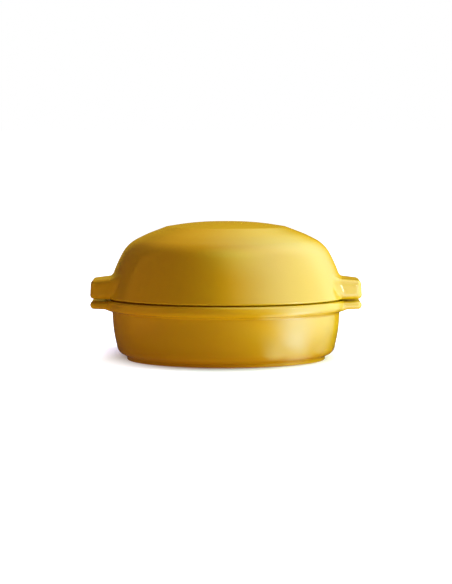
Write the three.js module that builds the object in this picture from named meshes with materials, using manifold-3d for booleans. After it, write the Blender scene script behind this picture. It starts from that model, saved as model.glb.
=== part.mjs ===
// Round stoneware cheese baker: a low dish and a domed lid, each with a pair of ear handles.
// Millimetres, +Z up. X runs through the ears, and the origin is on the table under the dish's centre.

import * as THREE from "three";
import { mergeVertices } from "three/addons/utils/BufferGeometryUtils.js";
import Module from "manifold-3d";

// Dish, outside
const RIM_DIAMETER = 175;
const DISH_HEIGHT = 43.5;
const RIM_BAND_HEIGHT = 8.3;
const RIM_OVERHANG = 6;
const RIM_UNDERSIDE_RISE = 1.2;
const RIM_LOWER_RADIUS = 4;
const RIM_UPPER_RADIUS = 1.8;
const RIM_CREASE_RADIUS = 2.5;
const DISH_TAPER = 4.3;
const DISH_BULGE = 1.3;
const DISH_BULGE_RADIUS = 120;
const DISH_CORNER_RISE = 2.8;
const DISH_CORNER_RADIUS = 10.8;

// Dish, foot ring
const FOOT_DIAMETER = 142;
const FOOT_HEIGHT = 2.8;
const FOOT_WIDTH = 6;
const FOOT_RECESS = 2.5;
const FOOT_EDGE_RADIUS = 0.8;

// Dish, inside
const DISH_WALL = 6.5;
const FLOOR_THICKNESS = 7;
const FLOOR_CORNER_RADIUS = 9;
const LEDGE_DEPTH = 3.5;
const RIM_LIP = 4;
const LEDGE_EDGE_RADIUS = 1.2;

// Lid, outside
const LID_SETBACK = 1.1;
const LID_WALL_HEIGHT = 38.4;
const LID_BULGE = 1.8;
const LID_BULGE_SHARE = 0.6;
const LID_BULGE_RADIUS = 90;
const LID_EDGE_RADIUS = 2.5;
const SHOULDER_INSET = 15.7;
const SHOULDER_RADIUS = 25;
const ROOF_RISE = 12.4;
const ROOF_BULGE = 0.9;
const ROOF_RADIUS = 80;
const PANEL_DIAMETER = 85.4;
const PANEL_EDGE_RADIUS = 5;
const PANEL_CROWN = 3.3;

// Lid, inside
const LID_WALL = 6.5;
const SPIGOT_WIDTH = 3.2;
const SPIGOT_EDGE_RADIUS = 1;

// Ears
const EAR_WIDTH = 56;
const EAR_TAPER = 0.45;
const EAR_CORNER_RADIUS = 1.5;
const EAR_ROOT_RADIUS = 4;
const DISH_EAR_REACH = 9;
const DISH_EAR_THICKNESS = 5.6;
const DISH_EAR_DROP = 0.6;
const DISH_EAR_EDGE_RADIUS = 2.5;
const LID_EAR_REACH = 9.3;
const LID_EAR_HEIGHT = 13;
const LID_EAR_RISE = 1.5;
const LID_EAR_DRAFT = 0.7;
const LID_EAR_LOWER_RADIUS = 2.5;
const LID_EAR_UPPER_RADIUS = 2.6;
const LID_EAR_EDGE_RADIUS = 5;
const LID_EAR_FILLET = 4;

// Clearances between the lid and the dish
const SEAT_GAP = 0.3;
const SEAM_GAP = 0.9;
const SPIGOT_CLEARANCE = 0.8;

// Fineness of the facets
const AROUND = 60;
const ARC_TOLERANCE = 0.16;
const BEVEL_STEPS = 2;
const WELD = 1e-3;

// Largest share of a slab's thickness that one of its rounded edges may take
const MOST_ROUND = 0.46;

// Places that follow from the sizes
const rimRadius = RIM_DIAMETER / 2;
const footRadius = FOOT_DIAMETER / 2;
const creaseHeight = DISH_HEIGHT - RIM_BAND_HEIGHT;
const dishWallRadius = rimRadius - RIM_OVERHANG;
const dishCornerRadius = dishWallRadius - DISH_TAPER;
const dishCornerHeight = FOOT_HEIGHT + DISH_CORNER_RISE;
const floorHeight = FOOT_RECESS + FLOOR_THICKNESS;
const ledgeHeight = DISH_HEIGHT - LEDGE_DEPTH;
const ledgeRadius = rimRadius - RIM_LIP;
const lidRadius = rimRadius - LID_SETBACK;
const lidEdgeHeight = DISH_HEIGHT + SEAM_GAP;
const shoulderRadius = lidRadius - SHOULDER_INSET;
const shoulderHeight = lidEdgeHeight + LID_WALL_HEIGHT;
const panelRadius = PANEL_DIAMETER / 2;
const panelHeight = shoulderHeight + ROOF_RISE;
const lidTop = panelHeight + PANEL_CROWN;
const spigotRadius = ledgeRadius - SPIGOT_CLEARANCE;
const spigotBottom = ledgeHeight + SEAT_GAP;
const dishEarEnd = rimRadius + DISH_EAR_REACH;
const lidEarEnd = rimRadius + LID_EAR_REACH;

const wasm = await Module();
wasm.setup();

// Points of an outline whose corners [x, y, radius] are rounded by tangent arcs.
// An arc is limited to half of each of its two sides, and an open outline keeps its two ends.
function rounded(corners, closed) {
  const places = corners.map(([x, y]) => new THREE.Vector2(x, y));
  const count = places.length;
  const points = [];
  corners.forEach(([, , radius], i) => {
    const corner = places[i];
    const isEnd = !closed && (i === 0 || i === count - 1);
    if (isEnd || !radius) {
      points.push(corner);
      return;
    }
    const before = places[(i + count - 1) % count].clone().sub(corner);
    const after = places[(i + 1) % count].clone().sub(corner);
    const shortest = Math.min(before.length(), after.length());
    before.normalize();
    after.normalize();
    const halfAngle = Math.acos(THREE.MathUtils.clamp(before.dot(after), -1, 1)) / 2;
    const tangent = Math.min(radius / Math.tan(halfAngle), shortest / 2);
    const arcRadius = tangent * Math.tan(halfAngle);
    const turn = Math.PI - 2 * halfAngle;
    const stepAngle = 2 * Math.acos(1 - Math.min(ARC_TOLERANCE / arcRadius, 1));
    const steps = Math.max(1, Math.ceil(turn / stepAngle));
    const middle = before.clone().add(after).normalize();
    const centre = corner.clone().addScaledVector(middle, arcRadius / Math.sin(halfAngle));
    const start = corner.clone().addScaledVector(before, tangent).sub(centre);
    const side = Math.sign(before.cross(after));
    for (let step = 0; step <= steps; step += 1) {
      const swing = (-side * turn * step) / steps;
      points.push(start.clone().rotateAround(new THREE.Vector2(), swing).add(centre));
    }
  });
  return points.filter((point, i) => i === 0 || point.distanceTo(points[i - 1]) > WELD);
}

// The corners of a run moved square to its sides, to the right of the way it runs.
function inset(corners, distance) {
  const places = corners.map(([x, y]) => new THREE.Vector2(x, y));
  const normals = places.slice(1).map((place, i) => {
    const along = place.clone().sub(places[i]).normalize();
    return new THREE.Vector2(along.y, -along.x);
  });
  return corners.map(([, , radius], i) => {
    const first = normals[Math.max(i - 1, 0)];
    const second = normals[Math.min(i, normals.length - 1)];
    const middle = first.clone().add(second).normalize();
    const moved = places[i].clone().addScaledVector(middle, distance / middle.dot(first));
    return [moved.x, moved.y, Math.max(radius - distance, 0)];
  });
}

// Radius of a lathe profile at a height, on a stretch that only falls.
function radiusAt(points, height) {
  const i = points.findIndex((point) => point.y <= height);
  const upper = points[i - 1];
  const lower = points[i];
  return THREE.MathUtils.mapLinear(height, upper.y, lower.y, upper.x, lower.x);
}

// A closed solid from a geometry, with its shared vertices merged and its empty triangles left out.
function solid(geometry) {
  geometry.deleteAttribute("normal");
  geometry.deleteAttribute("uv");
  const merged = mergeVertices(geometry, WELD);
  const triangles = [];
  for (let i = 0; i < merged.index.count; i += 3) {
    const corners = [merged.index.getX(i), merged.index.getX(i + 1), merged.index.getX(i + 2)];
    if (new Set(corners).size === 3) {
      triangles.push(...corners);
    }
  }
  return new wasm.Manifold(
    new wasm.Mesh({
      numProp: 3,
      vertProperties: merged.attributes.position.array,
      triVerts: new Uint32Array(triangles),
    }),
  );
}

// A profile of [radius, height] points turned about the upright axis.
function turned(points) {
  return solid(new THREE.LatheGeometry(points, AROUND).rotateX(Math.PI / 2));
}

// A geometry and the same one turned half round the upright axis, as one solid.
function pair(geometry) {
  return solid(geometry.clone()).add(solid(geometry.rotateZ(Math.PI)));
}

// An upright slab with the outline of an ear seen from above, on both sides of the object.
// Its root spreads into the round wall, its sides close in, and its upper and lower edges are rounded.
function earPair(wallRadius, earEnd, halfWidth, bottom, top, edgeRadius) {
  const rootBearing = Math.asin(halfWidth / wallRadius);
  const spread = Math.asin((halfWidth + 2 * EAR_ROOT_RADIUS) / wallRadius);
  const rootX = wallRadius * Math.cos(rootBearing);
  const spreadX = wallRadius * Math.cos(spread);
  const spreadY = wallRadius * Math.sin(spread);
  const half = [
    [spreadX - spreadY / 2, spreadY, 0],
    [spreadX, spreadY, 0],
    [rootX, halfWidth, EAR_ROOT_RADIUS],
    [earEnd, halfWidth - EAR_TAPER * (earEnd - rootX), EAR_CORNER_RADIUS + edgeRadius],
  ];
  const mirrored = half.map(([x, y, radius]) => [x, -y, radius]).reverse();
  const outline = new THREE.Shape(rounded([...half, ...mirrored], true));
  const slab = new THREE.ExtrudeGeometry(outline, {
    depth: top - bottom - 2 * edgeRadius,
    bevelEnabled: edgeRadius > 0,
    bevelThickness: edgeRadius,
    bevelSize: edgeRadius,
    bevelOffset: -edgeRadius,
    bevelSegments: BEVEL_STEPS,
  }).translate(0, 0, bottom + edgeRadius);
  return pair(slab);
}

// An ear's [x, z] section drawn out along Y, on both sides of the object.
function sectionPair(points) {
  const section = new THREE.Shape(points);
  const ridge = new THREE.ExtrudeGeometry(section, { depth: RIM_DIAMETER, bevelEnabled: false });
  return pair(ridge.rotateX(Math.PI / 2).translate(0, rimRadius, 0));
}

// The dish: foot ring, swelling wall and overhanging rim band, with a ledge inside the rim for the lid.
function makeDish() {
  const bulgeHeight = (creaseHeight + dishCornerHeight) / 2;
  const bulgeRadius = (dishWallRadius + dishCornerRadius) / 2 + DISH_BULGE;
  const innerRadius = dishWallRadius - DISH_WALL;
  const profile = rounded([
    [0, FOOT_RECESS, 0],
    [footRadius - FOOT_WIDTH, FOOT_RECESS, FOOT_EDGE_RADIUS],
    [footRadius - FOOT_WIDTH, 0, FOOT_EDGE_RADIUS],
    [footRadius, 0, FOOT_EDGE_RADIUS],
    [footRadius, FOOT_HEIGHT, FOOT_EDGE_RADIUS],
    [dishCornerRadius, dishCornerHeight, DISH_CORNER_RADIUS],
    [bulgeRadius, bulgeHeight, DISH_BULGE_RADIUS],
    [dishWallRadius, creaseHeight, RIM_CREASE_RADIUS],
    [rimRadius, creaseHeight + RIM_UNDERSIDE_RISE, RIM_LOWER_RADIUS],
    [rimRadius, DISH_HEIGHT, RIM_UPPER_RADIUS],
    [ledgeRadius, DISH_HEIGHT, LEDGE_EDGE_RADIUS],
    [ledgeRadius, ledgeHeight, LEDGE_EDGE_RADIUS],
    [innerRadius, ledgeHeight, LEDGE_EDGE_RADIUS],
    [innerRadius - DISH_TAPER, floorHeight, FLOOR_CORNER_RADIUS],
    [0, floorHeight, 0],
  ]);
  const earTop = DISH_HEIGHT - DISH_EAR_DROP;
  const earBottom = earTop - DISH_EAR_THICKNESS;
  const edgeRadius = Math.min(DISH_EAR_EDGE_RADIUS, DISH_EAR_THICKNESS * MOST_ROUND);
  const slabs = earPair(rimRadius, dishEarEnd, EAR_WIDTH / 2, earBottom, earTop, edgeRadius);
  const earRoot = rimRadius - RIM_LIP / 2;
  const inside = turned(
    rounded([[0, 0, 0], [earRoot, 0, 0], [earRoot, DISH_HEIGHT, 0], [0, DISH_HEIGHT, 0]]),
  );
  return turned(profile).add(slabs.subtract(inside));
}

// The lid: a wall that leans in to a soft shoulder, a low roof and a slightly domed panel on top.
// A spigot under its edge stands on the dish's ledge and keeps the lid in place.
function makeLid() {
  const bulgeRadius = THREE.MathUtils.lerp(lidRadius, shoulderRadius, LID_BULGE_SHARE) + LID_BULGE;
  const bulgeHeight = lidEdgeHeight + LID_WALL_HEIGHT * LID_BULGE_SHARE;
  const crownRadius = panelRadius ** 2 / (2 * PANEL_CROWN);
  const outside = [
    [0, lidTop, 0],
    [panelRadius / 2, lidTop, crownRadius],
    [panelRadius, panelHeight, PANEL_EDGE_RADIUS],
    [(panelRadius + shoulderRadius) / 2, (panelHeight + shoulderHeight) / 2 + ROOF_BULGE, ROOF_RADIUS],
    [shoulderRadius, shoulderHeight, SHOULDER_RADIUS],
    [bulgeRadius, bulgeHeight, LID_BULGE_RADIUS],
    [lidRadius, lidEdgeHeight, LID_EDGE_RADIUS],
  ];
  const inside = inset(outside, LID_WALL);
  const [, [innerRadius]] = inside.slice(-2);
  const spigotTop = lidEdgeHeight + LID_EDGE_RADIUS;
  const spigotInner = spigotRadius - SPIGOT_WIDTH;
  inside[0][0] = 0;
  inside[inside.length - 1] = [innerRadius, spigotTop, LID_EDGE_RADIUS];
  const profile = rounded([
    ...inside,
    [spigotInner, lidEdgeHeight, SPIGOT_EDGE_RADIUS],
    [spigotInner, spigotBottom, SPIGOT_EDGE_RADIUS],
    [spigotRadius, spigotBottom, SPIGOT_EDGE_RADIUS],
    [spigotRadius, lidEdgeHeight, SPIGOT_EDGE_RADIUS],
    ...outside.toReversed(),
  ]);
  const hollow = turned(
    rounded([[0, lidEdgeHeight, 0], [spigotInner, lidEdgeHeight, 0], ...inside.toReversed()]),
  );

  const wall = rounded(outside);
  const tipTop = lidEdgeHeight + LID_EAR_HEIGHT;
  const rootTop = tipTop + LID_EAR_RISE;
  const filletTop = rootTop + LID_EAR_FILLET * 2;
  const rootRadius = radiusAt(wall, rootTop);
  const filletRadius = radiusAt(wall, filletTop);
  const endTop = lidEarEnd - LID_EAR_DRAFT;
  const earSection = rounded(
    [
      [panelRadius, lidEdgeHeight, 0],
      [lidEarEnd, lidEdgeHeight, LID_EAR_LOWER_RADIUS],
      [endTop, tipTop, LID_EAR_UPPER_RADIUS],
      [rootRadius, rootTop, 0],
      [panelRadius, rootTop, 0],
    ],
    true,
  );
  const filletSection = rounded([
    [rootRadius - LID_WALL / 2, tipTop, 0],
    [endTop, tipTop, 0],
    [rootRadius, rootTop, LID_EAR_FILLET],
    [filletRadius, filletTop, 0],
    [filletRadius - LID_WALL / 2, filletTop, 0],
    [rootRadius - LID_WALL / 2, tipTop, 0],
  ]);
  const halfWidth = EAR_WIDTH / 2;
  const slabs = earPair(rootRadius, lidEarEnd, halfWidth, lidEdgeHeight, rootTop, LID_EAR_EDGE_RADIUS);
  const fillets = earPair(rootRadius, lidEarEnd, halfWidth - LID_EAR_EDGE_RADIUS, tipTop, filletTop, 0);
  const ears = sectionPair(earSection).intersect(slabs).add(turned(filletSection).intersect(fillets));
  return turned(profile).add(ears.subtract(hollow));
}

function makeMesh(name, body, material) {
  const { vertProperties, triVerts } = body.getMesh();
  const geometry = new THREE.BufferGeometry();
  geometry.setAttribute("position", new THREE.BufferAttribute(vertProperties, 3));
  geometry.setIndex(new THREE.BufferAttribute(triVerts, 1));
  geometry.computeVertexNormals();
  const mesh = new THREE.Mesh(geometry, material);
  mesh.name = name;
  return mesh;
}

const ochreGlaze = { color: 0xd0a02c, roughness: 0.25, metalness: 0 };

const cheeseBaker = new THREE.Group();
cheeseBaker.add(makeMesh("dish", makeDish(), new THREE.MeshStandardMaterial(ochreGlaze)));
cheeseBaker.add(makeMesh("lid", makeLid(), new THREE.MeshStandardMaterial(ochreGlaze)));

export default cheeseBaker;
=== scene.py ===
import functools
import math

import bpy
import numpy as np
from mathutils import Matrix, Vector


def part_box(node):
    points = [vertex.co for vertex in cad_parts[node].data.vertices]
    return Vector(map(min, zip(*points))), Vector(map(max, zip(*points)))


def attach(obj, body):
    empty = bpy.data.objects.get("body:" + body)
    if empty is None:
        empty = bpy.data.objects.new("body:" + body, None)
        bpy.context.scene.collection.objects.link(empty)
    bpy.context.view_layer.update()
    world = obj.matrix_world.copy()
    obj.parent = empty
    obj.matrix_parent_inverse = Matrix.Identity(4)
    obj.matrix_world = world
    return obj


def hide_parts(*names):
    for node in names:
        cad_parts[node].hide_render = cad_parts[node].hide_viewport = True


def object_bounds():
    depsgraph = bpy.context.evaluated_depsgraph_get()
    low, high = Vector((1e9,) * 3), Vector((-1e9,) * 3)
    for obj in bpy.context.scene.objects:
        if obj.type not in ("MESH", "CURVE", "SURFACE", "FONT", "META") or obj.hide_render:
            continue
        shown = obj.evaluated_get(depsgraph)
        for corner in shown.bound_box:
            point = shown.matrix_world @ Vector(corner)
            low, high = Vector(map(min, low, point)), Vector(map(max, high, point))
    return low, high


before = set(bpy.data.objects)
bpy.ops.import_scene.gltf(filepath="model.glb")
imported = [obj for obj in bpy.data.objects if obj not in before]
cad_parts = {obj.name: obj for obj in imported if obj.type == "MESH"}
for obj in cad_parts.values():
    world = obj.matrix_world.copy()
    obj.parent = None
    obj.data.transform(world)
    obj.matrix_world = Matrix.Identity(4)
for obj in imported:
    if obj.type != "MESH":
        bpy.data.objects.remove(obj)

bl_info = {
    "name": "Round cheese baker",
    "version": (1, 0, 0),
    "blender": (4, 5, 0),
    "location": "3D View > Sidebar > Cheese baker",
    "description": "Glazed stoneware cheese baker: its dish, its domed lid and a small studio",
    "category": "Object",
}

CAD_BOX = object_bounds()
DISH_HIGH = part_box("dish")[1]
LID_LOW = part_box("lid")[0]

MM = 0.001
TINY = 1e-9
UP = Vector((0, 0, 1))

# The photograph's frame in pixels, and the width of the camera's sensor in millimetres
FRAME_WIDTH = 452
FRAME_HEIGHT = 584
SENSOR_WIDTH = 36

# Largest turn between two points of an arc, and the length that a turn of one radian adds to a run's pace
ARC_STEP = math.radians(3)
BEND_WEIGHT = 3 * MM

# Rows and columns of the two skins
COLUMNS = 448
EAR_ROWS = 72
LID_TOP_ROWS = 66
LID_INSIDE_ROWS = 58
DISH_INSIDE_ROWS = 62
DISH_OUTSIDE_ROWS = 62

# How much closer columns lie at an ear's side, over what angle, and the samples that place them
SIDE_DENSITY = 9
SIDE_SPREAD = math.radians(3.2)
BEARING_SAMPLES = 20001

# How the skin is brought onto an ear, and how far round it the wall takes part
SETTLE_ROUNDS = 5
RELAX_ROUNDS = 3
STEPS_TO_SKIN = 2
PROBE = 0.02 * MM
LEAST_SLOPE = 0.5
MOST_PULL = 0.5
EAR_SURROUND = 12 * MM
SPARE_POINTS = 12

# The fillet round an ear: its size at a flush edge, how far off it grows, and on the lid, in fillets, the
# height over the edge at which it is full and the height over the ear from which the wall is plain
FLUSH_FILLET = 0.4 * MM
FILLET_START = 0.5 * MM
FILLETS_TO_FULL = 1.5
FILLETS_TO_PLAIN = 1.6

# Largest share of an ear's thickness that one rounded edge may take
MOST_ROUND = 0.46

# Bending, per metre, at which glaze begins to draw thin or to gather in hollows, where its deeper colour is
# also painted shade, and at which it has done so
THIN_BENDING = (140, 520)
POOL_AND_SHADE_BENDING = (60, 320)

# Patterns in the glaze, in waves per metre, the range of each and the share that it colours
CLOUD_SCALE = 26
CLOUD_RANGE = (0.35, 0.7)
CLOUD_SHARE = 0.22
GRAIN_SCALE = 1400
GRAIN_SHARE = 0.1
SPECK_SCALE = 330
SPECK_RANGE = (0.05, 0.12)
SPECK_SHARE = 0.3
# Share of the deep colour in creases and hollows: pooled glaze, and painted shade there
POOL_AND_SHADE_SHARE = 0.55
THIN_SHARE = 0.5
NOISE_RANGE = (0.3, 0.7)

# Finish of the glaze: its index of refraction, what the clouds add to its roughness, and its ripple
GLAZE_IOR = 1.55
CLOUD_ROUGHNESS = (-0.02, 0.03)
RIPPLE_SCALE = 240
RIPPLE_STRENGTH = 0.25
RIPPLE_DEPTH = 0.1 * MM

# Bare foot: the heights between which the glaze begins, and the grit in the clay
GLAZE_START = (0.45 * MM, 0.75 * MM)
GRIT_SCALE = 2600
GRIT_SHARE = 0.35
CLAY_ROUGHNESS = 0.85

# Floor: half of its side, and the oval that keeps the shadow: its widest line, behind the foot, the squeeze
# of its halves along Y, the distances between which the floor's glow grows, and the least glow. Inside the
# oval the weak glow leaves the floor darker also where no shadow falls: painted shade round the foot, with
# its real shadow
FLOOR_REACH = 20
SHADOW_LINE = 84 * MM
SHADOW_SQUEEZE = (-0.5, 1.6)
SHADOW_RANGE = (70 * MM, 106 * MM)
SHADOW_GLOW = 0.03

# Tent round the table, a dome that glows only in the glaze's reflections with painted reflections and
# glints, and how far the lights stand from the object or over the table
TENT_RADIUS = 3
TENT_HOLE = 10 * MM
TENT_LIFT = 0.3 * MM
TENT_COLUMNS = 240
TENT_ROWS = 70
LAMP_DISTANCE = 1.3
TABLE_LAMP_LIFT = 2 * MM

# Places on the object, in millimetres, from which the tent's glowing patches are aimed, to put painted
# reflections and glints on the glaze there
LEFT_WALL = (-69, -43, 45)
RIGHT_WALL = (50, -60, 55)
RIGHT_SIDE = (76, -25, 30)
RIGHT_EAR = (84, -26, 50)
DISH_WALL = (48, -61, 28)
FOOT_FRONT = (36, -70, 9)
FOOT_RIGHT = (66, -42, 12)
ROOF = (0, 0, 90)

# The glaze's node group, and the data types of a mix node by the kind of its sockets
GLAZE_GROUP = "ochre_glaze_tone"
MIX_TYPES = {"Color": "RGBA", "Float": "FLOAT"}


def length(name, description, millimetres):
    """A length property, whose default is given in millimetres."""
    return bpy.props.FloatProperty(
        name=name, description=description, default=millimetres * MM, unit="LENGTH", subtype="DISTANCE"
    )


def colour(name, description, default):
    """A linear colour property. A light's colour may be brighter than white."""
    return bpy.props.FloatVectorProperty(
        name=name, description=description, default=default, size=3, min=0, subtype="COLOR"
    )


def amount(name, description, default):
    """A plain number property."""
    return bpy.props.FloatProperty(name=name, description=description, default=default)


class BakerDishSizes(bpy.types.PropertyGroup):
    """Sizes of the dish"""

    rim_radius: length("Rim radius", "Outside of the rim band", DISH_HIGH[1] / MM)
    height: length("Height", "From the table to the top of the rim", DISH_HIGH[2] / MM)
    band_height: length("Band height", "Rim band, from its crease to its top", 8.3)
    band_overhang: length("Band overhang", "How far the band stands out from the wall", 6)
    band_rise: length("Band underside rise", "How far the band's underside climbs outwards", 1.2)
    band_lower_radius: length("Band lower rounding", "Rounding under the band", 4)
    band_upper_radius: length("Band upper rounding", "Rounding of the rim's outer edge", 2)
    crease_radius: length("Crease rounding", "Hollow rounding between wall and band", 2.5)
    taper: length("Taper", "How far the wall leans in from the crease to the bottom", 4.3)
    bulge: length("Bulge", "How far the wall swells at half its height", 1.3)
    bulge_radius: length("Bulge rounding", "Rounding of the wall's swelling", 120)
    corner_rise: length("Corner rise", "Height of the bottom corner above the foot", 2.8)
    corner_radius: length("Corner rounding", "Rounding at the bottom of the wall", 10.8)
    foot_radius: length("Foot radius", "Outside of the foot ring", 71)
    foot_height: length("Foot height", "Height of the foot ring", 2.8)
    foot_width: length("Foot width", "Width of the ring that stands on the table", 6)
    foot_recess: length("Foot recess", "Depth of the hollow inside the foot ring", 2.5)
    foot_edge_radius: length("Foot rounding", "Rounding of the foot's edges", 0.8)
    wall: length("Wall", "Thickness of the wall", 6.5)
    floor: length("Floor", "Thickness of the floor", 7)
    floor_radius: length("Floor rounding", "Rounding between floor and wall inside", 9)
    ledge_depth: length("Ledge depth", "From the rim's top down to the lid's ledge", 3.5)
    rim_lip: length("Rim lip", "Thickness of the rim outside the ledge", 4)
    ledge_radius: length("Ledge rounding", "Rounding of the ledge's edges", 1.2)


class BakerLidSizes(bpy.types.PropertyGroup):
    """Sizes of the lid"""

    setback: length("Setback", "How far the lid's edge lies inside the rim", 1.1)
    seam_gap: length("Seam gap", "Open seam between the rim and the lid's edge", 0.9)
    edge_radius: length("Edge rounding", "Rounding of the lid's lower edge", 1)
    wall_height: length("Wall height", "From the lid's edge to its shoulder", 38.4)
    bulge: length("Bulge", "How far the wall swells", 1.8)
    bulge_share: amount("Bulge place", "Where the wall swells, as a share of its height", 0.6)
    bulge_radius: length("Bulge rounding", "Rounding of the wall's swelling", 90)
    shoulder_inset: length("Shoulder inset", "How far the shoulder lies inside the edge", 15.7)
    shoulder_radius: length("Shoulder rounding", "Rounding of the shoulder", 25)
    roof_rise: length("Roof rise", "From the shoulder up to the top panel", 12.4)
    roof_bulge: length("Roof bulge", "How far the roof swells", 0.9)
    roof_radius: length("Roof rounding", "Rounding of the roof's swelling", 80)
    panel_radius: length("Panel radius", "Radius of the top panel", 42.7)
    panel_edge_radius: length("Panel edge rounding", "Rounding round the top panel", 5)
    panel_crown: length("Panel crown", "How far the top panel domes", 3.3)
    ring_radius: length("Ring radius", "Radius of the raised ring on the top panel", 29)
    ring_width: length("Ring width", "Width of the raised ring", 4.5)
    ring_height: length("Ring height", "Height of the raised ring", 0.7)
    wall: length("Wall", "Thickness of the wall", 6.5)
    spigot_width: length("Spigot width", "Thickness of the ring that stands on the ledge", 3.2)
    spigot_radius: length("Spigot rounding", "Rounding of the ring's edges", 1)
    spigot_clearance: length("Spigot clearance", "Gap round the ring, inside the rim lip", 0.8)


class BakerEarSizes(bpy.types.PropertyGroup):
    """Sizes of the ears of the dish and the lid"""

    lid_reach: length("Lid ear reach", "From the middle to the end of the lid's ears", 96.7)
    dish_reach: length("Dish ear reach", "From the middle to the end of the dish's ears", 96.5)
    width: length("Width", "Width of an ear at the rim", 56)
    taper: amount("Taper", "How much the sides of an ear close in, over their length", 0.45)
    edge_radius: length("Edge rounding", "Rounding of the lid ears' sides", 4.2)
    root_fillet: length("Root fillet", "Hollow rounding between an ear and the wall", 4)
    under_fillet: length("Under fillet", "Hollow rounding between a dish ear and the rim band", 2.4)
    dish_thickness: length("Dish ear", "Thickness of the dish's ears", 5.6)
    dish_drop: length("Dish ear drop", "How far the dish's ears lie under the rim", 0.6)
    lid_height: length("Lid ear", "Height of the lid's ears at their ends", 13)
    lid_rise: length("Lid ear rise", "How much higher the lid's ears are at the wall", 1.5)
    lid_draft: length("Lid ear draft", "How far the end faces lean in", 0.7)
    lid_lower_radius: length("Lid ear lower rounding", "Rounding under the lid's ear ends", 2.5)
    lid_upper_radius: length("Lid ear upper rounding", "Rounding over the lid's ear ends", 2.6)


class BakerGlaze(bpy.types.PropertyGroup):
    """Colours of the glaze and the clay under it"""

    body: colour("Glaze", "Ochre glaze at its usual depth", (0.72, 0.52, 0.009))
    # The deep colour also darkens creases and hollows: pooled glaze there, and painted shade
    deep: colour("Deep glaze", "Glaze where it pools", (0.66, 0.45, 0.007))
    thin: colour("Thin glaze", "Glaze where it draws off an edge", (0.76, 0.57, 0.013))
    clay: colour("Clay", "Bare fired clay under the foot", (0.62, 0.5, 0.37))
    roughness: amount("Roughness", "Roughness of the fired glaze", 0.11)


class BakerStage(bpy.types.PropertyGroup):
    """Camera and light"""

    camera_distance: length("Camera distance", "From the object to the camera along Y", 1900)
    camera_height: length("Camera height", "Height of the camera over the table", 178.8)
    aim_height: length("Aim height", "Height that the camera looks at", 48.05)
    focal_pixels: amount("Focal length", "Focal length in pixels of the frame", 2656)
    key_power: amount("Key light", "Power of the soft light on the right, in watts", 10)
    key_tint: colour("Key tint", "Cool colour of the light on the right", (0.46, 1, 0.7))
    warm_power: amount("Warm light", "Power of the soft light at the front right, in watts", 5.1)
    warm_tint: colour("Warm tint", "Warm colour of the light at the front right", (1, 0.3, 0.6))
    top_power: amount("Top light", "Power of the wide light overhead, behind, in watts", 19.5)
    top_tint: colour("Top tint", "Colour of the light overhead", (1, 0.7, 0.95))
    table_power: amount("Table light", "Power of the light on the table at the right, in watts", 0.9)
    table_tint: colour("Table tint", "Cool colour of the light on the table", (0.55, 1, 0.9))
    surround: colour("Surround", "Dim light from all round the table", (0.05, 0.02, 0.06))
    floor: colour("Floor", "Pale floor", (0.66, 0.84, 0.78))
    bounce: colour("Bounce", "Share of its light that the floor throws back", (0.8, 0.62, 0.4))
    under: colour("Under light", "Light from the table to the object's underside", (0.26, 0.14, 0.05))
    # Colours that glow only in the glaze's reflections: first a dim painted reflection of dark
    # surroundings, then painted reflections and highlights
    tent: colour("Tent", "Dim cloth round the table that the glaze mirrors", (0.04, 0.025, 0.03))
    left_reflection_glow: colour("Left cloth", "Lighter cloth at the left", (0.68, 0.28, 0.02))
    front_reflection_glow: colour("Front cloth", "Wide orange cloth at the front right", (1.75, 0.75, 0.02))
    right_reflection_glow: colour("Right cloth", "Pale cloth at the right", (0.4, 2, 2.9))
    roof_reflection_glow: colour("Roof cloth", "Orange cloth overhead, behind the middle", (1, 0.5, 0.04))
    shoulder_reflection_glow: colour("Shoulder cloth", "Soft cloth high at the front", (1.6, 2.6, 0.4))
    far_reflection_glow: colour("Far cloth", "Cool cloth behind the object at the right", (0, 0.9, 0.4))
    back_reflection_glow: colour("Back cloth", "Low cloth behind the object", (0.42, 0.27, 0))
    table_reflection_glow: colour("Table cloth", "Pale cloth on the table at the right", (0.8, 3.2, 5.6))
    low_reflection_glow: colour("Low cloth", "Wide cloth on the table at the front right", (2.2, 3, 2.4))
    foot_reflection_glow: colour("Foot cloth", "Pale cloth on the table close to the foot", (1.6, 2.4, 1.3))
    edge_reflection_glow: colour("Edge cloth", "Cool cloth on the table right of the foot", (0.4, 0.8, 1))
    # A small, very bright patch: a painted glint on the right ear
    core_reflection_glow: colour("Core cloth", "Small bright cloth that glints on the right ear", (30, 30, 30))


# Outlines

def unit(vectors):
    """Vectors scaled to a length of one."""
    return vectors / np.linalg.norm(vectors, axis=-1, keepdims=True)


def rounded_run(corners):
    """Points along straight sides whose corners are rounded.

    Each corner is (across, up, radius). An arc that touches both of its sides stands for the corner: about
    its centre it swings from one touching point to the other in equal angles. It takes at most half of a
    side, or all of the first or the last side.
    """
    places = np.array([corner[:2] for corner in corners])
    room = np.linalg.norm(np.diff(places, axis=0), axis=1) / 2
    room[[0, -1]] *= 2
    runs = [places[:1]]
    for index, corner in enumerate(corners[1:-1], start=1):
        place = places[index]
        towards = unit(places[index - 1] - place)
        away = unit(places[index + 1] - place)
        half_angle = math.acos(np.clip(towards @ away, -1, 1)) / 2
        tangent = min(corner[2] / math.tan(half_angle), room[index - 1], room[index])
        radius = tangent * math.tan(half_angle)
        middle = unit(towards + away)
        centre = place + middle * radius / math.sin(half_angle)
        sideways = np.array([-middle[1], middle[0]])
        sideways = sideways * -np.sign(sideways @ towards)
        half_turn = math.pi / 2 - half_angle
        swing = np.linspace(-half_turn, half_turn, math.ceil(2 * half_turn / ARC_STEP) + 1)[:, None]
        runs.append(centre + radius * (np.sin(swing) * sideways - np.cos(swing) * middle))
    runs.append(places[-1:])
    return np.vstack(runs)


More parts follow.
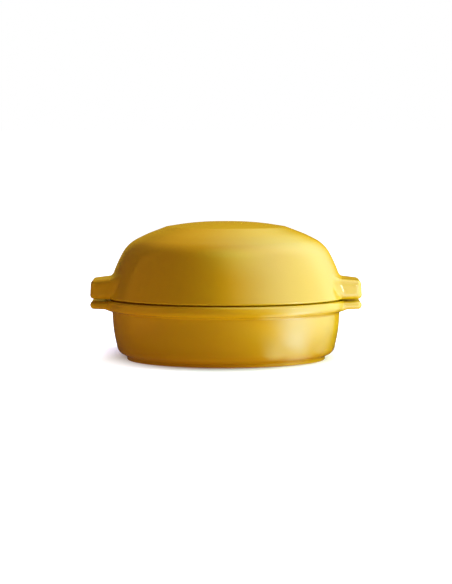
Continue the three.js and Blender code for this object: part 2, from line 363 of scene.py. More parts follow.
def moved_in(corners, distance):
    """Corners of a run moved square to its sides by a distance, to the right of the way that it runs."""
    places = np.array([corner[:2] for corner in corners])
    along = unit(np.diff(places, axis=0))
    square = np.column_stack([along[:, 1], -along[:, 0]])
    first = np.vstack([square[:1], square])
    second = np.vstack([square, square[-1:]])
    middle = unit(first + second)
    moved = places + middle * (distance / (middle * first).sum(axis=1))[:, None]
    return [(across, up, max(corner[2] - distance, 0)) for (across, up), corner in zip(moved, corners)]


def paced(points, count):
    """A run cut into count points, closer together where it bends.

    They are equal steps of the length run plus BEND_WEIGHT times the angle turned.
    """
    steps = np.diff(points, axis=0)
    pace = np.hypot(steps[:, 0], steps[:, 1])
    kept = pace > TINY
    points = np.vstack([points[:1], points[1:][kept]])
    steps = steps[kept]
    pace = pace[kept]
    heading = np.unwrap(np.arctan2(steps[:, 1], steps[:, 0]))
    bend = np.abs(np.diff(heading)) * BEND_WEIGHT / 2
    pace[:-1] += bend
    pace[1:] += bend
    total = np.concatenate([[0], np.cumsum(pace)])
    wanted = np.linspace(0, total[-1], count)
    return np.column_stack([np.interp(wanted, total, points[:, axis]) for axis in (0, 1)])


def outline_distance(across, up, outline):
    """Distance from points to an outline's nearest side, below zero on the right of the way it runs."""
    start = outline[:-1]
    side = np.diff(outline, axis=0)
    squared = np.maximum((side ** 2).sum(axis=1), TINY ** 2)
    offset_across = across[..., None] - start[:, 0]
    offset_up = up[..., None] - start[:, 1]
    share = np.clip((offset_across * side[:, 0] + offset_up * side[:, 1]) / squared, 0, 1)
    gap_across = offset_across - share * side[:, 0]
    gap_up = offset_up - share * side[:, 1]
    gap = gap_across ** 2 + gap_up ** 2
    nearest = gap.argmin(axis=-1)[..., None]
    left = side[:, 0] * offset_up - side[:, 1] * offset_across
    sign = np.sign(np.take_along_axis(left, nearest, -1)[..., 0])
    return sign * np.sqrt(np.take_along_axis(gap, nearest, -1)[..., 0])


# Solids as distances

def rounded_overlap(first, second, radius):
    """Distance to what two solids share, with the edge between them rounded off by a radius."""
    edge = np.hypot(np.maximum(first + radius, 0), np.maximum(second + radius, 0))
    return np.minimum(np.maximum(first, second), -radius) + edge


def filleted_union(first, second, radius):
    """Distance to two solids joined, with the hollow between them filled by a fillet of a radius."""
    hollow = np.hypot(np.maximum(radius - first, 0), np.maximum(radius - second, 0))
    return np.maximum(np.minimum(first, second), radius) - hollow


def smooth_step(value, low, high):
    """0 below low, 1 above high and an even S between them."""
    share = np.clip((value - low) / (high - low), 0, 1)
    return share * share * (3 - 2 * share)


def settled(points, distance):
    """Points moved onto the surface where a distance is zero, by a Newton step along its slope."""
    value = distance(points)
    slopes = [(distance(points + step) - value) / PROBE for step in np.eye(3) * PROBE]
    slope = np.stack(slopes, axis=-1)
    scale = value / np.maximum((slope ** 2).sum(axis=-1), LEAST_SLOPE ** 2)
    return points - scale[..., None] * slope


def relaxed(rings, pull):
    """Points of a closed band of rings drawn towards the middle of their four neighbours.

    Each column has its own pull. The first and last ring stay.
    """
    beside = np.roll(rings, 1, axis=1) + np.roll(rings, -1, axis=1)
    middle = rings.copy()
    middle[1:-1] = (beside[1:-1] + rings[:-2] + rings[2:]) / 4
    return rings + pull[:, None] * (middle - rings)


# Skins

def bearings(half_width, wall_radius, tip):
    """Angles round the upright axis, closest together where the sides of the ears meet the wall.

    Their density is one plus a bell at each of the four bearings of the ears' sides, and they lie at equal
    steps of its running total.
    """
    side = (math.asin(half_width / wall_radius) + math.asin(half_width / tip)) / 2
    fine = np.linspace(0, 2 * math.pi, BEARING_SAMPLES)
    folded = np.abs(np.arctan2(np.sin(fine), np.abs(np.cos(fine))))
    density = 1 + SIDE_DENSITY * np.exp(-(((folded - side) / SIDE_SPREAD) ** 2))
    total = np.concatenate([[0], np.cumsum((density[1:] + density[:-1]) / 2)])
    return np.interp(np.arange(COLUMNS) / COLUMNS * total[-1], total, fine)


def turned(run, angles):
    """Rings of a run of (across, up) points turned about the upright axis."""
    across = run[:, :1]
    up = np.broadcast_to(run[:, 1:], (len(run), len(angles)))
    return np.stack([across * np.cos(angles), across * np.sin(angles), up], axis=-1)


def ear_distance(points, section, wall_radius, ears, radius):
    """Distance to a pair of ears: a section in X and Z that two upright sides cut off, with rounded edges.

    The sides stand at half the width where they leave the round wall and close in towards the end.
    """
    reach = np.abs(points[..., 0])
    half_width = ears.width / 2
    root = math.sqrt(wall_radius ** 2 - half_width ** 2)
    side = (np.abs(points[..., 1]) - half_width + ears.taper * (reach - root)) / math.hypot(1, ears.taper)
    return rounded_overlap(outline_distance(reach, points[..., 2], section), side, radius)


def ear_band(plain, eared, angles, half_width, wall_radius, tip, distance):
    """Rings of the band that carries the ears.

    Each ring goes from the plain wall's outline to the ear's outline by the share of the ear that lies on
    its bearing, where the flat side at half_width cuts it off. Near the ears the points are then relaxed
    and settled on the solid.
    """
    cut = half_width / np.maximum(np.abs(np.sin(angles)), TINY)
    share = np.clip((cut - wall_radius) / (tip - wall_radius), 0, 1)
    across = plain[:, :1] + share * (eared[:, :1] - plain[:, :1])
    up = plain[:, 1:] + share * (eared[:, 1:] - plain[:, 1:])
    rings = np.stack([across * np.cos(angles), across * np.sin(angles), up], axis=-1)
    beyond = np.abs(np.sin(angles)) * wall_radius - half_width
    pull = MOST_PULL * smooth_step(-beyond, -EAR_SURROUND, -EAR_SURROUND / 2)
    near = np.flatnonzero(pull > 0)
    for _ in range(SETTLE_ROUNDS):
        for _ in range(RELAX_ROUNDS):
            rings = relaxed(rings, pull)
        for _ in range(STEPS_TO_SKIN):
            rings[1:-1, near] = settled(rings[1:-1, near], distance)
    return rings


def bending(rings):
    """How sharply the skin bends outwards at each point, per metre, over both ways of the grid.

    It is the change of the step to the next point, seen along the outward normal, over the steps' lengths.
    """
    along = np.gradient(rings, axis=0)
    beside = (np.roll(rings, -1, axis=1) - np.roll(rings, 1, axis=1)) / 2
    normal = np.cross(along, beside)
    normal = normal / np.maximum(np.linalg.norm(normal, axis=-1, keepdims=True), TINY ** 2)
    total = np.zeros(rings.shape[:2])
    for axis in (0, 1):
        ahead = np.roll(rings, -1, axis=axis) - rings
        behind = rings - np.roll(rings, 1, axis=axis)
        ahead_length = np.maximum(np.linalg.norm(ahead, axis=-1, keepdims=True), TINY)
        behind_length = np.maximum(np.linalg.norm(behind, axis=-1, keepdims=True), TINY)
        change = ahead / ahead_length - behind / behind_length
        bend = -2 * (change * normal).sum(axis=-1) / (ahead_length + behind_length)[..., 0]
        if axis == 0:
            bend[[0, -1]] = 0
        total += bend
    return total


def linked(name, data):
    """A new object that shows some data, linked to the scene."""
    made = bpy.data.objects.new(name, data)
    bpy.context.collection.objects.link(made)
    return made


def ring_object(name, rings, material):
    """A closed mesh object from rings about the upright axis, with a point on the axis at both ends."""
    row_count, column_count = rings.shape[:2]
    poles = np.zeros((2, 3))
    poles[:, 2] = rings[[0, -1], 0, 2]
    points = np.vstack([rings.reshape(-1, 3), poles])
    column = np.arange(column_count)
    following = np.roll(column, -1)
    base = np.arange(row_count - 1)[:, None] * column_count
    below = base + column_count
    quads = np.stack([base + column, below + column, below + following, base + following], axis=-1)
    last = (row_count - 1) * column_count
    top = len(points) - 2
    first_fan = np.column_stack([np.full(column_count, top), column, following])
    last_fan = np.column_stack([np.full(column_count, top + 1), last + following, last + column])
    faces = [*quads.reshape(-1, 4).tolist(), *first_fan.tolist(), *last_fan.tolist()]
    mesh = bpy.data.meshes.new(name)
    mesh.from_pydata(points.tolist(), [], faces)
    mesh.polygons.foreach_set("use_smooth", np.ones(len(mesh.polygons), dtype=bool))
    mesh.update()
    if mesh.validate():
        raise RuntimeError(f"the mesh of {name} has faces that aren't sound")
    mesh.materials.append(material)
    return linked(name, mesh)


def glazed_piece(name, rings, material):
    """A ring object whose point attributes edge and pool say where the glaze draws thin, and where it
    gathers in creases and hollows, darker there as pooled glaze and painted shade.
    """
    piece = ring_object(name, rings, material)
    bend = np.concatenate([bending(rings).ravel(), [0, 0]])
    masks = {"edge": smooth_step(bend, *THIN_BENDING), "pool": smooth_step(-bend, *POOL_AND_SHADE_BENDING)}
    for mask, values in masks.items():
        attribute = piece.data.attributes.new(mask, "FLOAT", "POINT")
        attribute.data.foreach_set("value", values.astype(np.float32))
    return piece


def eared_skin(before, plain, eared, after, rows, ears, wall_radius, tip, distance):
    """Rings of a piece: a run turned about the upright axis, the band with the ears and a second run.

    The band goes from the plain outline to the eared one. The rows are those of the two turned runs.
    """
    half_width = ears.width / 2
    angles = bearings(half_width, wall_radius, tip)
    outlines = (paced(plain, EAR_ROWS), paced(eared, EAR_ROWS))
    band = ear_band(*outlines, angles, half_width, wall_radius, tip, distance)
    above, below = (turned(paced(run, count)[1:-1], angles) for run, count in zip((before, after), rows))
    return np.concatenate([above, band, below])


def dish_rings(dish, ears):
    """Rings of the dish, from the middle of its floor over rim and ears to the middle of its underside.

    The outlines inside and outside, straight sides with rounded corners, are turned about the upright axis.
    The ears are a plate with round ends that two leaning sides cut off, joined to the rim band by fillets.
    """
    wall_radius = dish.rim_radius - dish.band_overhang
    corner_radius = wall_radius - dish.taper
    crease_height = dish.height - dish.band_height
    corner_height = dish.foot_height + dish.corner_rise
    inner_radius = wall_radius - dish.wall
    floor_height = dish.foot_recess + dish.floor
    ledge_radius = dish.rim_radius - dish.rim_lip
    ledge_height = dish.height - dish.ledge_depth
    rim_middle = (dish.rim_radius + ledge_radius) / 2
    joint_height = crease_height - 2 * dish.crease_radius
    bulge_height = (crease_height + corner_height) / 2
    bulge_radius = (wall_radius + corner_radius) / 2 + dish.bulge
    inside = rounded_run([
        (0, floor_height, 0),
        (inner_radius - dish.taper, floor_height, dish.floor_radius),
        (inner_radius, ledge_height, dish.ledge_radius),
        (ledge_radius, ledge_height, dish.ledge_radius),
        (ledge_radius, dish.height, dish.ledge_radius),
        (rim_middle, dish.height, 0),
    ])
    outside = rounded_run([
        (rim_middle, dish.height, 0),
        (dish.rim_radius, dish.height, dish.band_upper_radius),
        (dish.rim_radius, crease_height + dish.band_rise, dish.band_lower_radius),
        (wall_radius, crease_height, dish.crease_radius),
        (bulge_radius, bulge_height, dish.bulge_radius),
        (corner_radius, corner_height, dish.corner_radius),
        (dish.foot_radius, dish.foot_height, dish.foot_edge_radius),
        (dish.foot_radius, 0, dish.foot_edge_radius),
        (dish.foot_radius - dish.foot_width, 0, dish.foot_edge_radius),
        (dish.foot_radius - dish.foot_width, dish.foot_recess, dish.foot_edge_radius),
        (0, dish.foot_recess, 0),
    ])
    joint = np.argmax((outside[:, 1] < joint_height) & (outside[:, 0] < dish.rim_radius))
    plain = outside[:joint + 1]
    lower = outside[joint:]
    ear_top = dish.height - ears.dish_drop
    ear_bottom = ear_top - ears.dish_thickness
    end_corners = [
        (ears.dish_reach, ear_top, ears.dish_thickness / 2),
        (ears.dish_reach, ear_bottom, ears.dish_thickness / 2),
    ]
    deep_radius = dish.rim_radius / 2
    section = rounded_run([(deep_radius, ear_top, 0), *end_corners, (deep_radius, ear_bottom, 0)])
    eared = rounded_run([
        (rim_middle, dish.height, 0),
        (dish.rim_radius, ear_top, ears.dish_drop),
        *end_corners,
        (wall_radius, ear_bottom, ears.under_fillet),
        tuple(plain[-1]) + (0,),
    ])

    def distance(points):
        across = np.hypot(points[..., 0], points[..., 1])
        up = points[..., 2]
        body = outline_distance(across, up, outside[:joint + SPARE_POINTS])
        ear = ear_distance(points, section, dish.rim_radius, ears, ears.dish_thickness * MOST_ROUND)
        deep = smooth_step(ear_top - up, FILLET_START, ears.dish_thickness)
        fillet = FLUSH_FILLET + (ears.under_fillet - FLUSH_FILLET) * deep
        return filleted_union(body, ear, fillet)

    rows = (DISH_INSIDE_ROWS, DISH_OUTSIDE_ROWS)
    return eared_skin(inside, plain, eared, lower, rows, ears, dish.rim_radius, ears.dish_reach, distance)


def ring_relief(across, lid):
    """Height of the raised ring on the top panel: a flat-topped bell across its middle line."""
    return lid.ring_height * np.exp(-((2 * (across - lid.ring_radius) / lid.ring_width) ** 4))


def lid_rings(dish, lid, ears):
    """Rings of the lid, from the middle of its top over ears and spigot to the middle of its hollow.

    The outline, straight sides with rounded corners, is turned about the upright axis, and the hollow is
    the same outline moved in by the wall. The ears are a block with a sloping top that two leaning sides
    cut off, joined to the wall by fillets.
    """
    edge_radius = dish.rim_radius - lid.setback
    edge_height = dish.height + lid.seam_gap
    shoulder_radius = edge_radius - lid.shoulder_inset
    shoulder_height = edge_height + lid.wall_height
    panel_height = shoulder_height + lid.roof_rise
    top = panel_height + lid.panel_crown
    roof_radius = (lid.panel_radius + shoulder_radius) / 2
    roof_height = (panel_height + shoulder_height) / 2 + lid.roof_bulge
    bulge_radius = edge_radius + (shoulder_radius - edge_radius) * lid.bulge_share + lid.bulge
    bulge_height = edge_height + lid.wall_height * lid.bulge_share
    spigot_outer = dish.rim_radius - dish.rim_lip - lid.spigot_clearance
    spigot_inner = spigot_outer - lid.spigot_width
    spigot_bottom = LID_LOW[2]
    edge_middle = (spigot_outer + edge_radius) / 2
    shell = [
        (0, top, 0),
        (lid.panel_radius / 2, top, lid.panel_radius ** 2 / (2 * lid.panel_crown)),
        (lid.panel_radius, panel_height, lid.panel_edge_radius),
        (roof_radius, roof_height, lid.roof_radius),
        (shoulder_radius, shoulder_height, lid.shoulder_radius),
        (bulge_radius, bulge_height, lid.bulge_radius),
        (edge_radius, edge_height, lid.edge_radius),
    ]
    outside = rounded_run([*shell, (edge_middle, edge_height, 0)])
    hollow = moved_in(shell, lid.wall)
    inner_radius = hollow[-1][0]
    under = rounded_run([
        (edge_middle, edge_height, 0),
        (spigot_outer, edge_height, lid.spigot_radius),
        (spigot_outer, spigot_bottom, lid.spigot_radius),
        (spigot_inner, spigot_bottom, lid.spigot_radius),
        (spigot_inner, edge_height, lid.spigot_radius),
        (inner_radius, edge_height + lid.edge_radius, lid.edge_radius),
        *hollow[-2:0:-1],
        (0, hollow[0][1], 0),
    ])
    tip_top = edge_height + ears.lid_height
    root_top = tip_top + ears.lid_rise
    joint = np.argmax(outside[:, 1] < root_top + FILLETS_TO_PLAIN * ears.root_fillet)
    upper = outside[:joint + 1].copy()
    upper[:, 1] += ring_relief(upper[:, 0], lid)
    plain = outside[joint:]
    root_radius = np.interp(-root_top, -outside[:-1, 1], outside[:-1, 0])
    end_corners = [
        (ears.lid_reach - ears.lid_draft, tip_top, ears.lid_upper_radius),
        (ears.lid_reach, edge_height, ears.lid_lower_radius),
    ]
    slope = ears.lid_rise / (ears.lid_reach - root_radius)
    deep_radius = edge_radius / 2
    section = rounded_run([
        (deep_radius, root_top + slope * (root_radius - deep_radius), 0),
        *end_corners,
        (deep_radius, edge_height, 0),
    ])
    eared = rounded_run([
        tuple(plain[0]) + (0,),
        (root_radius, root_top, ears.root_fillet),
        *end_corners,
        (edge_middle, edge_height, 0),
    ])

    def distance(points):
        across = np.hypot(points[..., 0], points[..., 1])
        up = points[..., 2]
        body = outline_distance(across, up, outside[joint - SPARE_POINTS:])
        ear = ear_distance(points, section, edge_radius, ears, ears.edge_radius)
        high = smooth_step(up - edge_height, FILLET_START, FILLETS_TO_FULL * ears.root_fillet)
        fillet = FLUSH_FILLET + (ears.root_fillet - FLUSH_FILLET) * high
        return filleted_union(body, ear, fillet)

    rows = (LID_TOP_ROWS, LID_INSIDE_ROWS)
    return eared_skin(upper, plain, eared, under, rows, ears, edge_radius, ears.lid_reach, distance)


# Materials

def set_input(tree, socket, value):
    """Link an input socket to an output socket, or give it a plain value. Plain colours are opaque."""
    if isinstance(value, bpy.types.NodeSocket):
        tree.links.new(value, socket)
    elif socket.type == "RGBA":
        socket.default_value = (*value, 1)
    else:
        socket.default_value = value


def add_node(tree, kind, *inputs, **values):
    """A shader node with its first inputs set in order, and its settings and other inputs set by name."""
    node = tree.nodes.new(kind)
    for name, value in values.items():
        if name in node.inputs:
            set_input(tree, node.inputs[name], value)
        else:
            setattr(node, name, value)
    for socket, value in zip(node.inputs, inputs):
        set_input(tree, socket, value)
    return node


def new_material(name):
    """A material and its node tree."""
    material = bpy.data.materials.new(name)
    material.use_nodes = True
    return material, material.node_tree


def set_surface(tree, shader):
    """Put a shader in place of the one that a material starts with."""
    tree.nodes.remove(tree.nodes["Principled BSDF"])
    tree.links.new(shader.outputs[0], tree.nodes["Material Output"].inputs["Surface"])


def mixed(tree, factor, first, second, kind="Color"):
    """Output of a mix, by a factor socket, of two colours or numbers. The kind is Color or Float."""
    node = add_node(tree, "ShaderNodeMix", factor, data_type=MIX_TYPES[kind])
    sockets = {socket.identifier: socket for socket in (*node.inputs, *node.outputs)}
    set_input(tree, sockets[f"A_{kind}"], first)
    set_input(tree, sockets[f"B_{kind}"], second)
    return sockets[f"Result_{kind}"]


def ramped(tree, value, span, to_low, to_high):
    """Output of a smooth map of a value socket from a span of low and high to another."""
    node = add_node(
        tree, "ShaderNodeMapRange", value, *span, to_low, to_high, interpolation_type="SMOOTHSTEP"
    )
    return node.outputs["Result"]


def noise(tree, place, scale, detail):
    """Output of a cloud of noise read at a place socket, in waves per metre."""
    return add_node(tree, "ShaderNodeTexNoise", Vector=place, Scale=scale, Detail=detail).outputs["Fac"]


def glaze_group():
    """Node group of the glaze, made once: clouds, grain, specks, pooling with painted shade in hollows,
    thin edges and a ripple.
    """
    if GLAZE_GROUP in bpy.data.node_groups:
        return bpy.data.node_groups[GLAZE_GROUP]
    group = bpy.data.node_groups.new(GLAZE_GROUP, "ShaderNodeTree")
    taken = {
        "Place": "Vector", "Body": "Color", "Deep": "Color", "Thin": "Color",
        "Edge": "Float", "Pool": "Float", "Roughness": "Float",
    }
    given = {"Color": "Color", "Roughness": "Float", "Height": "Float"}
    for in_out, sockets in (("INPUT", taken), ("OUTPUT", given)):
        for name, kind in sockets.items():
            group.interface.new_socket(name, in_out=in_out, socket_type=f"NodeSocket{kind}")
    inputs = group.nodes.new("NodeGroupInput").outputs
    outputs = group.nodes.new("NodeGroupOutput").inputs
    clouds = noise(group, inputs["Place"], CLOUD_SCALE, detail=3)
    grain = noise(group, inputs["Place"], GRAIN_SCALE, detail=2)
    ripple = noise(group, inputs["Place"], RIPPLE_SCALE, detail=2)
    speck = add_node(group, "ShaderNodeTexVoronoi", Vector=inputs["Place"], Scale=SPECK_SCALE)
    coats = (
        (ramped(group, clouds, CLOUD_RANGE, 0, CLOUD_SHARE), "Deep"),
        (ramped(group, grain, NOISE_RANGE, 0, GRAIN_SHARE), "Thin"),
        (ramped(group, speck.outputs["Distance"], SPECK_RANGE, SPECK_SHARE, 0), "Deep"),
        # Deeper colour in creases and hollows: pooled glaze, and painted shade
        (ramped(group, inputs["Pool"], (0, 1), 0, POOL_AND_SHADE_SHARE), "Deep"),
        (ramped(group, inputs["Edge"], (0, 1), 0, THIN_SHARE), "Thin"),
    )
    tone = inputs["Body"]
    for share, coat in coats:
        tone = mixed(group, share, tone, inputs[coat])
    rougher = ramped(group, clouds, NOISE_RANGE, *CLOUD_ROUGHNESS)
    roughness = add_node(group, "ShaderNodeMath", inputs["Roughness"], rougher, operation="ADD")
    group.links.new(tone, outputs["Color"])
    group.links.new(roughness.outputs[0], outputs["Roughness"])
    group.links.new(ripple, outputs["Height"])
    return group


def glaze_material(name, glaze, bare_foot):
    """Ochre glaze over stoneware. With bare_foot the wiped foot shows its clay."""
    material, tree = new_material(name)
    place = add_node(tree, "ShaderNodeTexCoord").outputs["Object"]
    edge = add_node(tree, "ShaderNodeAttribute", attribute_name="edge").outputs["Fac"]
    pool = add_node(tree, "ShaderNodeAttribute", attribute_name="pool").outputs["Fac"]
    coats = {"Body": glaze.body, "Deep": glaze.deep, "Thin": glaze.thin, "Roughness": glaze.roughness}
    tone = add_node(
        tree, "ShaderNodeGroup", node_tree=glaze_group(), Place=place, Edge=edge, Pool=pool, **coats
    ).outputs
    base_colour = tone["Color"]
    roughness = tone["Roughness"]
    if bare_foot:
        height = add_node(tree, "ShaderNodeSeparateXYZ", place).outputs["Z"]
        bare = ramped(tree, height, GLAZE_START, 1, 0)
        grit = ramped(tree, noise(tree, place, GRIT_SCALE, detail=3), NOISE_RANGE, 0, GRIT_SHARE)
        worn = mixed(tree, grit, glaze.clay, base_colour)
        base_colour = mixed(tree, bare, base_colour, worn)
        roughness = mixed(tree, bare, roughness, CLAY_ROUGHNESS, "Float")
    ripple = {"Strength": RIPPLE_STRENGTH, "Distance": RIPPLE_DEPTH, "Height": tone["Height"]}
    bump = add_node(tree, "ShaderNodeBump", **ripple)
    shader = tree.nodes["Principled BSDF"].inputs
    shader["IOR"].default_value = GLAZE_IOR
    tree.links.new(base_colour, shader["Base Color"])
    tree.links.new(roughness, shader["Roughness"])
    tree.links.new(bump.outputs["Normal"], shader["Normal"])
    return material


# Stage

def seen_rays(tree):
    """Output that is 1 on camera, glossy and transmission rays and 0 on others."""
    rays = add_node(tree, "ShaderNodeLightPath").outputs
    total = rays["Is Camera Ray"]
    for name in ("Is Glossy Ray", "Is Transmission Ray"):
        total = add_node(tree, "ShaderNodeMath", total, rays[name], operation="MAXIMUM").outputs[0]
    return total


def floor_material(stage):
    """Pale floor that shows white to the eye and to glossy surfaces, and keeps the object's shadow.

    Its glow grows from an oval round the foot outwards, so that the shadow stays close to the object.
    Inside the oval the floor stays darker also where no shadow falls: painted shade round the foot, beside
    its real shadow.
    """
    material, tree = new_material("studio_floor")
    seen = seen_rays(tree)
    place = add_node(tree, "ShaderNodeTexCoord").outputs["Object"]
    halves = []
    for squeeze in SHADOW_SQUEEZE:
        along = (1, squeeze, 0)
        middle = (0, -squeeze * SHADOW_LINE, 0)
        half = add_node(tree, "ShaderNodeVectorMath", place, along, middle, operation="MULTIPLY_ADD")
        halves.append(half.outputs[0])
    oval = add_node(tree, "ShaderNodeVectorMath", *halves, operation="MAXIMUM").outputs[0]
    far = add_node(tree, "ShaderNodeVectorMath", oval, operation="LENGTH").outputs["Value"]
    # Weak glow inside the oval: real shadow there, and painted shade round the foot
    bright = ramped(tree, far, SHADOW_RANGE, SHADOW_GLOW, 1)
    grey = add_node(tree, "ShaderNodeCombineColor", bright, bright, bright).outputs[0]
    floor = mixed(tree, seen, stage.bounce, stage.floor)
    light = mixed(tree, seen, stage.under, grey)
    plain = add_node(tree, "ShaderNodeBsdfDiffuse", Color=floor).outputs[0]
    glow = add_node(tree, "ShaderNodeEmission", Color=light, Strength=1).outputs[0]
    set_surface(tree, add_node(tree, "ShaderNodeAddShader", plain, glow))
    return material


def set_world(stage):
    """White surroundings to the eye, and a dim light from all round to the object."""
    world = bpy.data.worlds.new("studio_world")
    world.use_nodes = True
    tree = world.node_tree
    dim = tree.nodes["Background"]
    set_input(tree, dim.inputs["Color"], stage.surround)
    white = add_node(tree, "ShaderNodeBackground", Color=(1, 1, 1), Strength=1)
    choice = add_node(tree, "ShaderNodeMixShader", seen_rays(tree), dim.outputs[0], white.outputs[0])
    tree.links.new(choice.outputs[0], tree.nodes["World Output"].inputs["Surface"])
    bpy.context.scene.world = world


def make_floor(stage):
    """A flat square floor with the table's origin in its middle."""
    corners = np.array([(-1, -1, 0), (1, -1, 0), (1, 1, 0), (-1, 1, 0)]) * FLOOR_REACH
    mesh = bpy.data.meshes.new("studio_floor")
    mesh.from_pydata(corners.tolist(), [], [(0, 1, 2, 3)])
    mesh.materials.append(floor_material(stage))
    floor = linked("studio_floor", mesh)


def outward(bearing, climb):
    """Direction from the object at a bearing from the front to the right and a climb, in degrees."""
    across = math.cos(math.radians(climb))
    return Vector((
        math.sin(math.radians(bearing)) * across,
        -math.cos(math.radians(bearing)) * across,
        math.sin(math.radians(climb)),
    ))


def reflection_glow_mask(points, mirror, bearing, climb, spread, fade):
    """Share of a glowing patch at points: 1 within a spread of degrees round a way from a mirror place on
    the object, then fading.
    """
    towards = unit(points - np.array(mirror) * MM)
    angle = np.degrees(np.arccos(np.clip(towards @ np.array(outward(bearing, climb)), -1, 1)))
    return smooth_step(-angle, -spread - fade, -spread + fade)[..., None]


def painted_reflection_colours(points, stage):
    """Colours of the tent at its points: a dim base and lighter glowing patches, each by its mask. They are
    painted reflections, highlights and glints on the glaze, each aimed from a place on the object.
    """
    mask = functools.partial(reflection_glow_mask, points)
    left_half = mask(LEFT_WALL, bearing=-27, climb=0, spread=90, fade=1.5)
    right_half = mask(RIGHT_SIDE, bearing=54, climb=0, spread=90, fade=1.5)
    upper_half = mask(RIGHT_SIDE, bearing=0, climb=90, spread=86, fade=4)
    shown = np.maximum(right_half, upper_half)
    # Each glowing patch is a painted reflection or highlight on the glaze
    reflection_glows = (
        (stage.left_reflection_glow, left_half * mask(LEFT_WALL, bearing=-90, climb=12, spread=36, fade=20)),
        (stage.front_reflection_glow, shown * mask(RIGHT_WALL, bearing=64, climb=15, spread=64, fade=16)),
        (stage.right_reflection_glow, shown * mask(RIGHT_WALL, bearing=89, climb=27, spread=50, fade=30)),
        (stage.roof_reflection_glow, mask(ROOF, bearing=165, climb=66, spread=36, fade=12)),
        (stage.shoulder_reflection_glow, mask(ROOF, bearing=22, climb=66, spread=16, fade=22)),
        (stage.far_reflection_glow, mask(ROOF, bearing=138, climb=45, spread=26, fade=20)),
        (stage.back_reflection_glow, mask(ROOF, bearing=170, climb=5, spread=34, fade=14)),
        (stage.back_reflection_glow, mask(RIGHT_EAR, bearing=142, climb=8, spread=30, fade=3)),
        (stage.table_reflection_glow, mask(DISH_WALL, bearing=76, climb=-22, spread=20, fade=24)),
        (stage.low_reflection_glow, mask(DISH_WALL, bearing=60, climb=-54, spread=36, fade=20)),
        (stage.foot_reflection_glow, mask(FOOT_FRONT, bearing=42, climb=-62, spread=38, fade=16)),
        (stage.edge_reflection_glow, mask(FOOT_RIGHT, bearing=115, climb=-20, spread=20, fade=16)),
        # Painted glint on the right ear
        (stage.core_reflection_glow, mask(RIGHT_EAR, bearing=67, climb=4, spread=3.5, fade=2)),
    )
    light = np.array(stage.tent)
    for reflection_glow_colour, share in reflection_glows:
        light = light + share * reflection_glow_colour
    return light


def painted_reflection_material():
    """Glow with the colour of its points: the tent's painted reflections."""
    material, tree = new_material("studio_tent")
    material.cycles.emission_sampling = "NONE"
    light = add_node(tree, "ShaderNodeAttribute", attribute_name="cloth").outputs["Color"]
    set_surface(tree, add_node(tree, "ShaderNodeEmission", Color=light))
    return material


def make_painted_reflection_tent(stage):
    """A dim round tent over the table and the lights, which glows in the glaze's reflections and nowhere
    else: painted reflections, highlights and glints.

    Its rings run out along the table in growing steps and up over a quarter circle.
    """
    out = np.geomspace(TENT_HOLE, TENT_RADIUS, TENT_ROWS)
    table = np.column_stack([out, np.full(TENT_ROWS, TENT_LIFT)])
    swing = np.linspace(0, math.pi / 2, TENT_ROWS)[1:-1]
    dome = TENT_RADIUS * np.column_stack([np.cos(swing), np.sin(swing)])
    angles = np.linspace(0, 2 * math.pi, TENT_COLUMNS, endpoint=False)
    tent = ring_object("studio_tent", turned(np.vstack([table, dome]), angles), painted_reflection_material())
    points = np.empty(3 * len(tent.data.vertices))
    tent.data.vertices.foreach_get("co", points)
    light = painted_reflection_colours(points.reshape(-1, 3), stage)
    attribute = tent.data.attributes.new("cloth", "FLOAT_COLOR", "POINT")
    attribute.data.foreach_set("color", np.column_stack([light, np.ones(len(light))]).ravel())
    # Only glossy rays see the tent, so it shows only as painted reflections in the glaze
    tent.visible_camera = False
    tent.visible_diffuse = False
    tent.visible_shadow = False
    tent.visible_transmission = False


def area_lamp(stage, name, place, facing, upward, width, height):
    """A soft rectangular light at a place, which faces one way and keeps its height along another.

    The stage's settings with its name give its power and its tint.
    """
    data = bpy.data.lights.new(f"{name}_light", "AREA")
    data.shape = "RECTANGLE"
    data.size = width
    data.size_y = height
    data.energy = getattr(stage, f"{name}_power")
    data.color = getattr(stage, f"{name}_tint")
    lamp = linked(f"{name}_light", data)
    lamp.location = place
    beside = upward.cross(-facing).normalized()
    lamp.rotation_euler = Matrix((beside, (-facing).cross(beside), -facing)).transposed().to_euler()
    lamp.visible_camera = False
    lamp.visible_glossy = False


def standing_lamp(stage, name, bearing, climb, width, height):
    """A soft light turned to the middle of the object."""
    way = outward(bearing, climb)
    middle = UP * (CAD_BOX[1][2] / 2)
    area_lamp(stage, name, middle + way * LAMP_DISTANCE, -way, UP, width, height)


def table_lamp(stage, name, bearing, reach, width, depth):
    """A soft light that lies on the table and faces up, with its depth away from the object."""
    way = outward(bearing, 0)
    area_lamp(stage, name, way * reach + UP * TABLE_LAMP_LIFT, UP, way, width, depth)


def make_lights(stage):
    """The soft lights on the right, at the front right, overhead and on the table."""
    standing_lamp(stage, "key", bearing=82, climb=23, width=0.7, height=0.75)
    standing_lamp(stage, "warm", bearing=66, climb=23, width=0.4, height=0.9)
    standing_lamp(stage, "top", bearing=138, climb=62, width=1.6, height=1.2)
    table_lamp(stage, "table", bearing=54, reach=0.46, width=0.4, depth=0.7)


def make_camera(stage):
    """The camera in front of the object, with its lens worked out from the focal length in pixels."""
    data = bpy.data.cameras.new("photo_camera")
    data.sensor_fit = "AUTO"
    data.sensor_width = SENSOR_WIDTH
    data.lens = stage.focal_pixels * SENSOR_WIDTH / max(FRAME_WIDTH, FRAME_HEIGHT)
    camera = linked("photo_camera", data)
    camera.location = (0, -stage.camera_distance, stage.camera_height)
    look = UP * stage.aim_height - camera.location
    camera.rotation_euler = look.to_track_quat("-Z", "Y").to_euler()
    bpy.context.scene.camera = camera


# Operators and panel

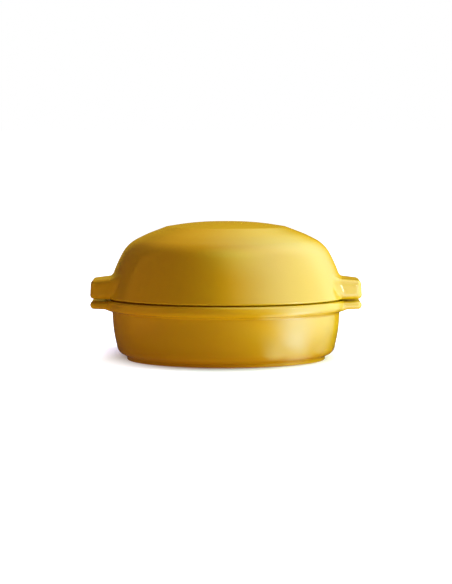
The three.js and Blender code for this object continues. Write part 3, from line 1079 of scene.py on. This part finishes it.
class BAKER_OT_dish(bpy.types.Operator):
    """Make the glazed dish with its foot ring, rim band and ears"""

    bl_idname = "cheese_baker.dish"
    bl_label = "Make dish"

    def execute(self, context):
        scene = context.scene
        material = glaze_material("dish_ochre_glaze", scene.baker_glaze, bare_foot=True)
        piece = glazed_piece("dish_glazed", dish_rings(scene.baker_dish, scene.baker_ears), material)
        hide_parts("dish")
        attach(piece, "dish")
        return {"FINISHED"}


class BAKER_OT_lid(bpy.types.Operator):
    """Make the glazed lid with its ears, its top panel and its spigot"""

    bl_idname = "cheese_baker.lid"
    bl_label = "Make lid"

    def execute(self, context):
        scene = context.scene
        material = glaze_material("lid_ochre_glaze", scene.baker_glaze, bare_foot=False)
        rings = lid_rings(scene.baker_dish, scene.baker_lid, scene.baker_ears)
        piece = glazed_piece("lid_glazed", rings, material)
        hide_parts("lid")
        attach(piece, "lid")
        return {"FINISHED"}


class BAKER_OT_stage(bpy.types.Operator):
    """Make the floor, the surroundings, the tent of painted reflections, the lights and the camera"""

    bl_idname = "cheese_baker.stage"
    bl_label = "Make stage"

    def execute(self, context):
        scene = context.scene
        stage = scene.baker_stage
        scene.view_settings.view_transform = "Standard"
        set_world(stage)
        make_floor(stage)
        make_painted_reflection_tent(stage)
        make_lights(stage)
        make_camera(stage)
        return {"FINISHED"}


class BAKER_PT_panel(bpy.types.Panel):
    """Sidebar panel with the baker's sizes, colours and operators"""

    bl_idname = "BAKER_PT_panel"
    bl_label = "Cheese baker"
    bl_space_type = "VIEW_3D"
    bl_region_type = "UI"
    bl_category = "Cheese baker"

    def draw(self, context):
        for operator in (BAKER_OT_dish, BAKER_OT_lid, BAKER_OT_stage):
            self.layout.operator(operator.bl_idname)
        for group in SETTINGS:
            settings = getattr(context.scene, group)
            self.layout.label(text=settings.__doc__)
            for name in settings.__annotations__:
                self.layout.prop(settings, name)


SETTINGS = {
    "baker_dish": BakerDishSizes,
    "baker_lid": BakerLidSizes,
    "baker_ears": BakerEarSizes,
    "baker_glaze": BakerGlaze,
    "baker_stage": BakerStage,
}
OTHER_CLASSES = (BAKER_OT_dish, BAKER_OT_lid, BAKER_OT_stage, BAKER_PT_panel)


def register():
    for cls in (*SETTINGS.values(), *OTHER_CLASSES):
        bpy.utils.register_class(cls)
    for name, cls in SETTINGS.items():
        setattr(bpy.types.Scene, name, bpy.props.PointerProperty(type=cls))


def unregister():
    for name in SETTINGS:
        delattr(bpy.types.Scene, name)
    for cls in (*OTHER_CLASSES, *SETTINGS.values()):
        bpy.utils.unregister_class(cls)


def main():
    register()
    bpy.ops.cheese_baker.dish()
    bpy.ops.cheese_baker.lid()
    bpy.ops.cheese_baker.stage()


if __name__ == "__main__":
    main()
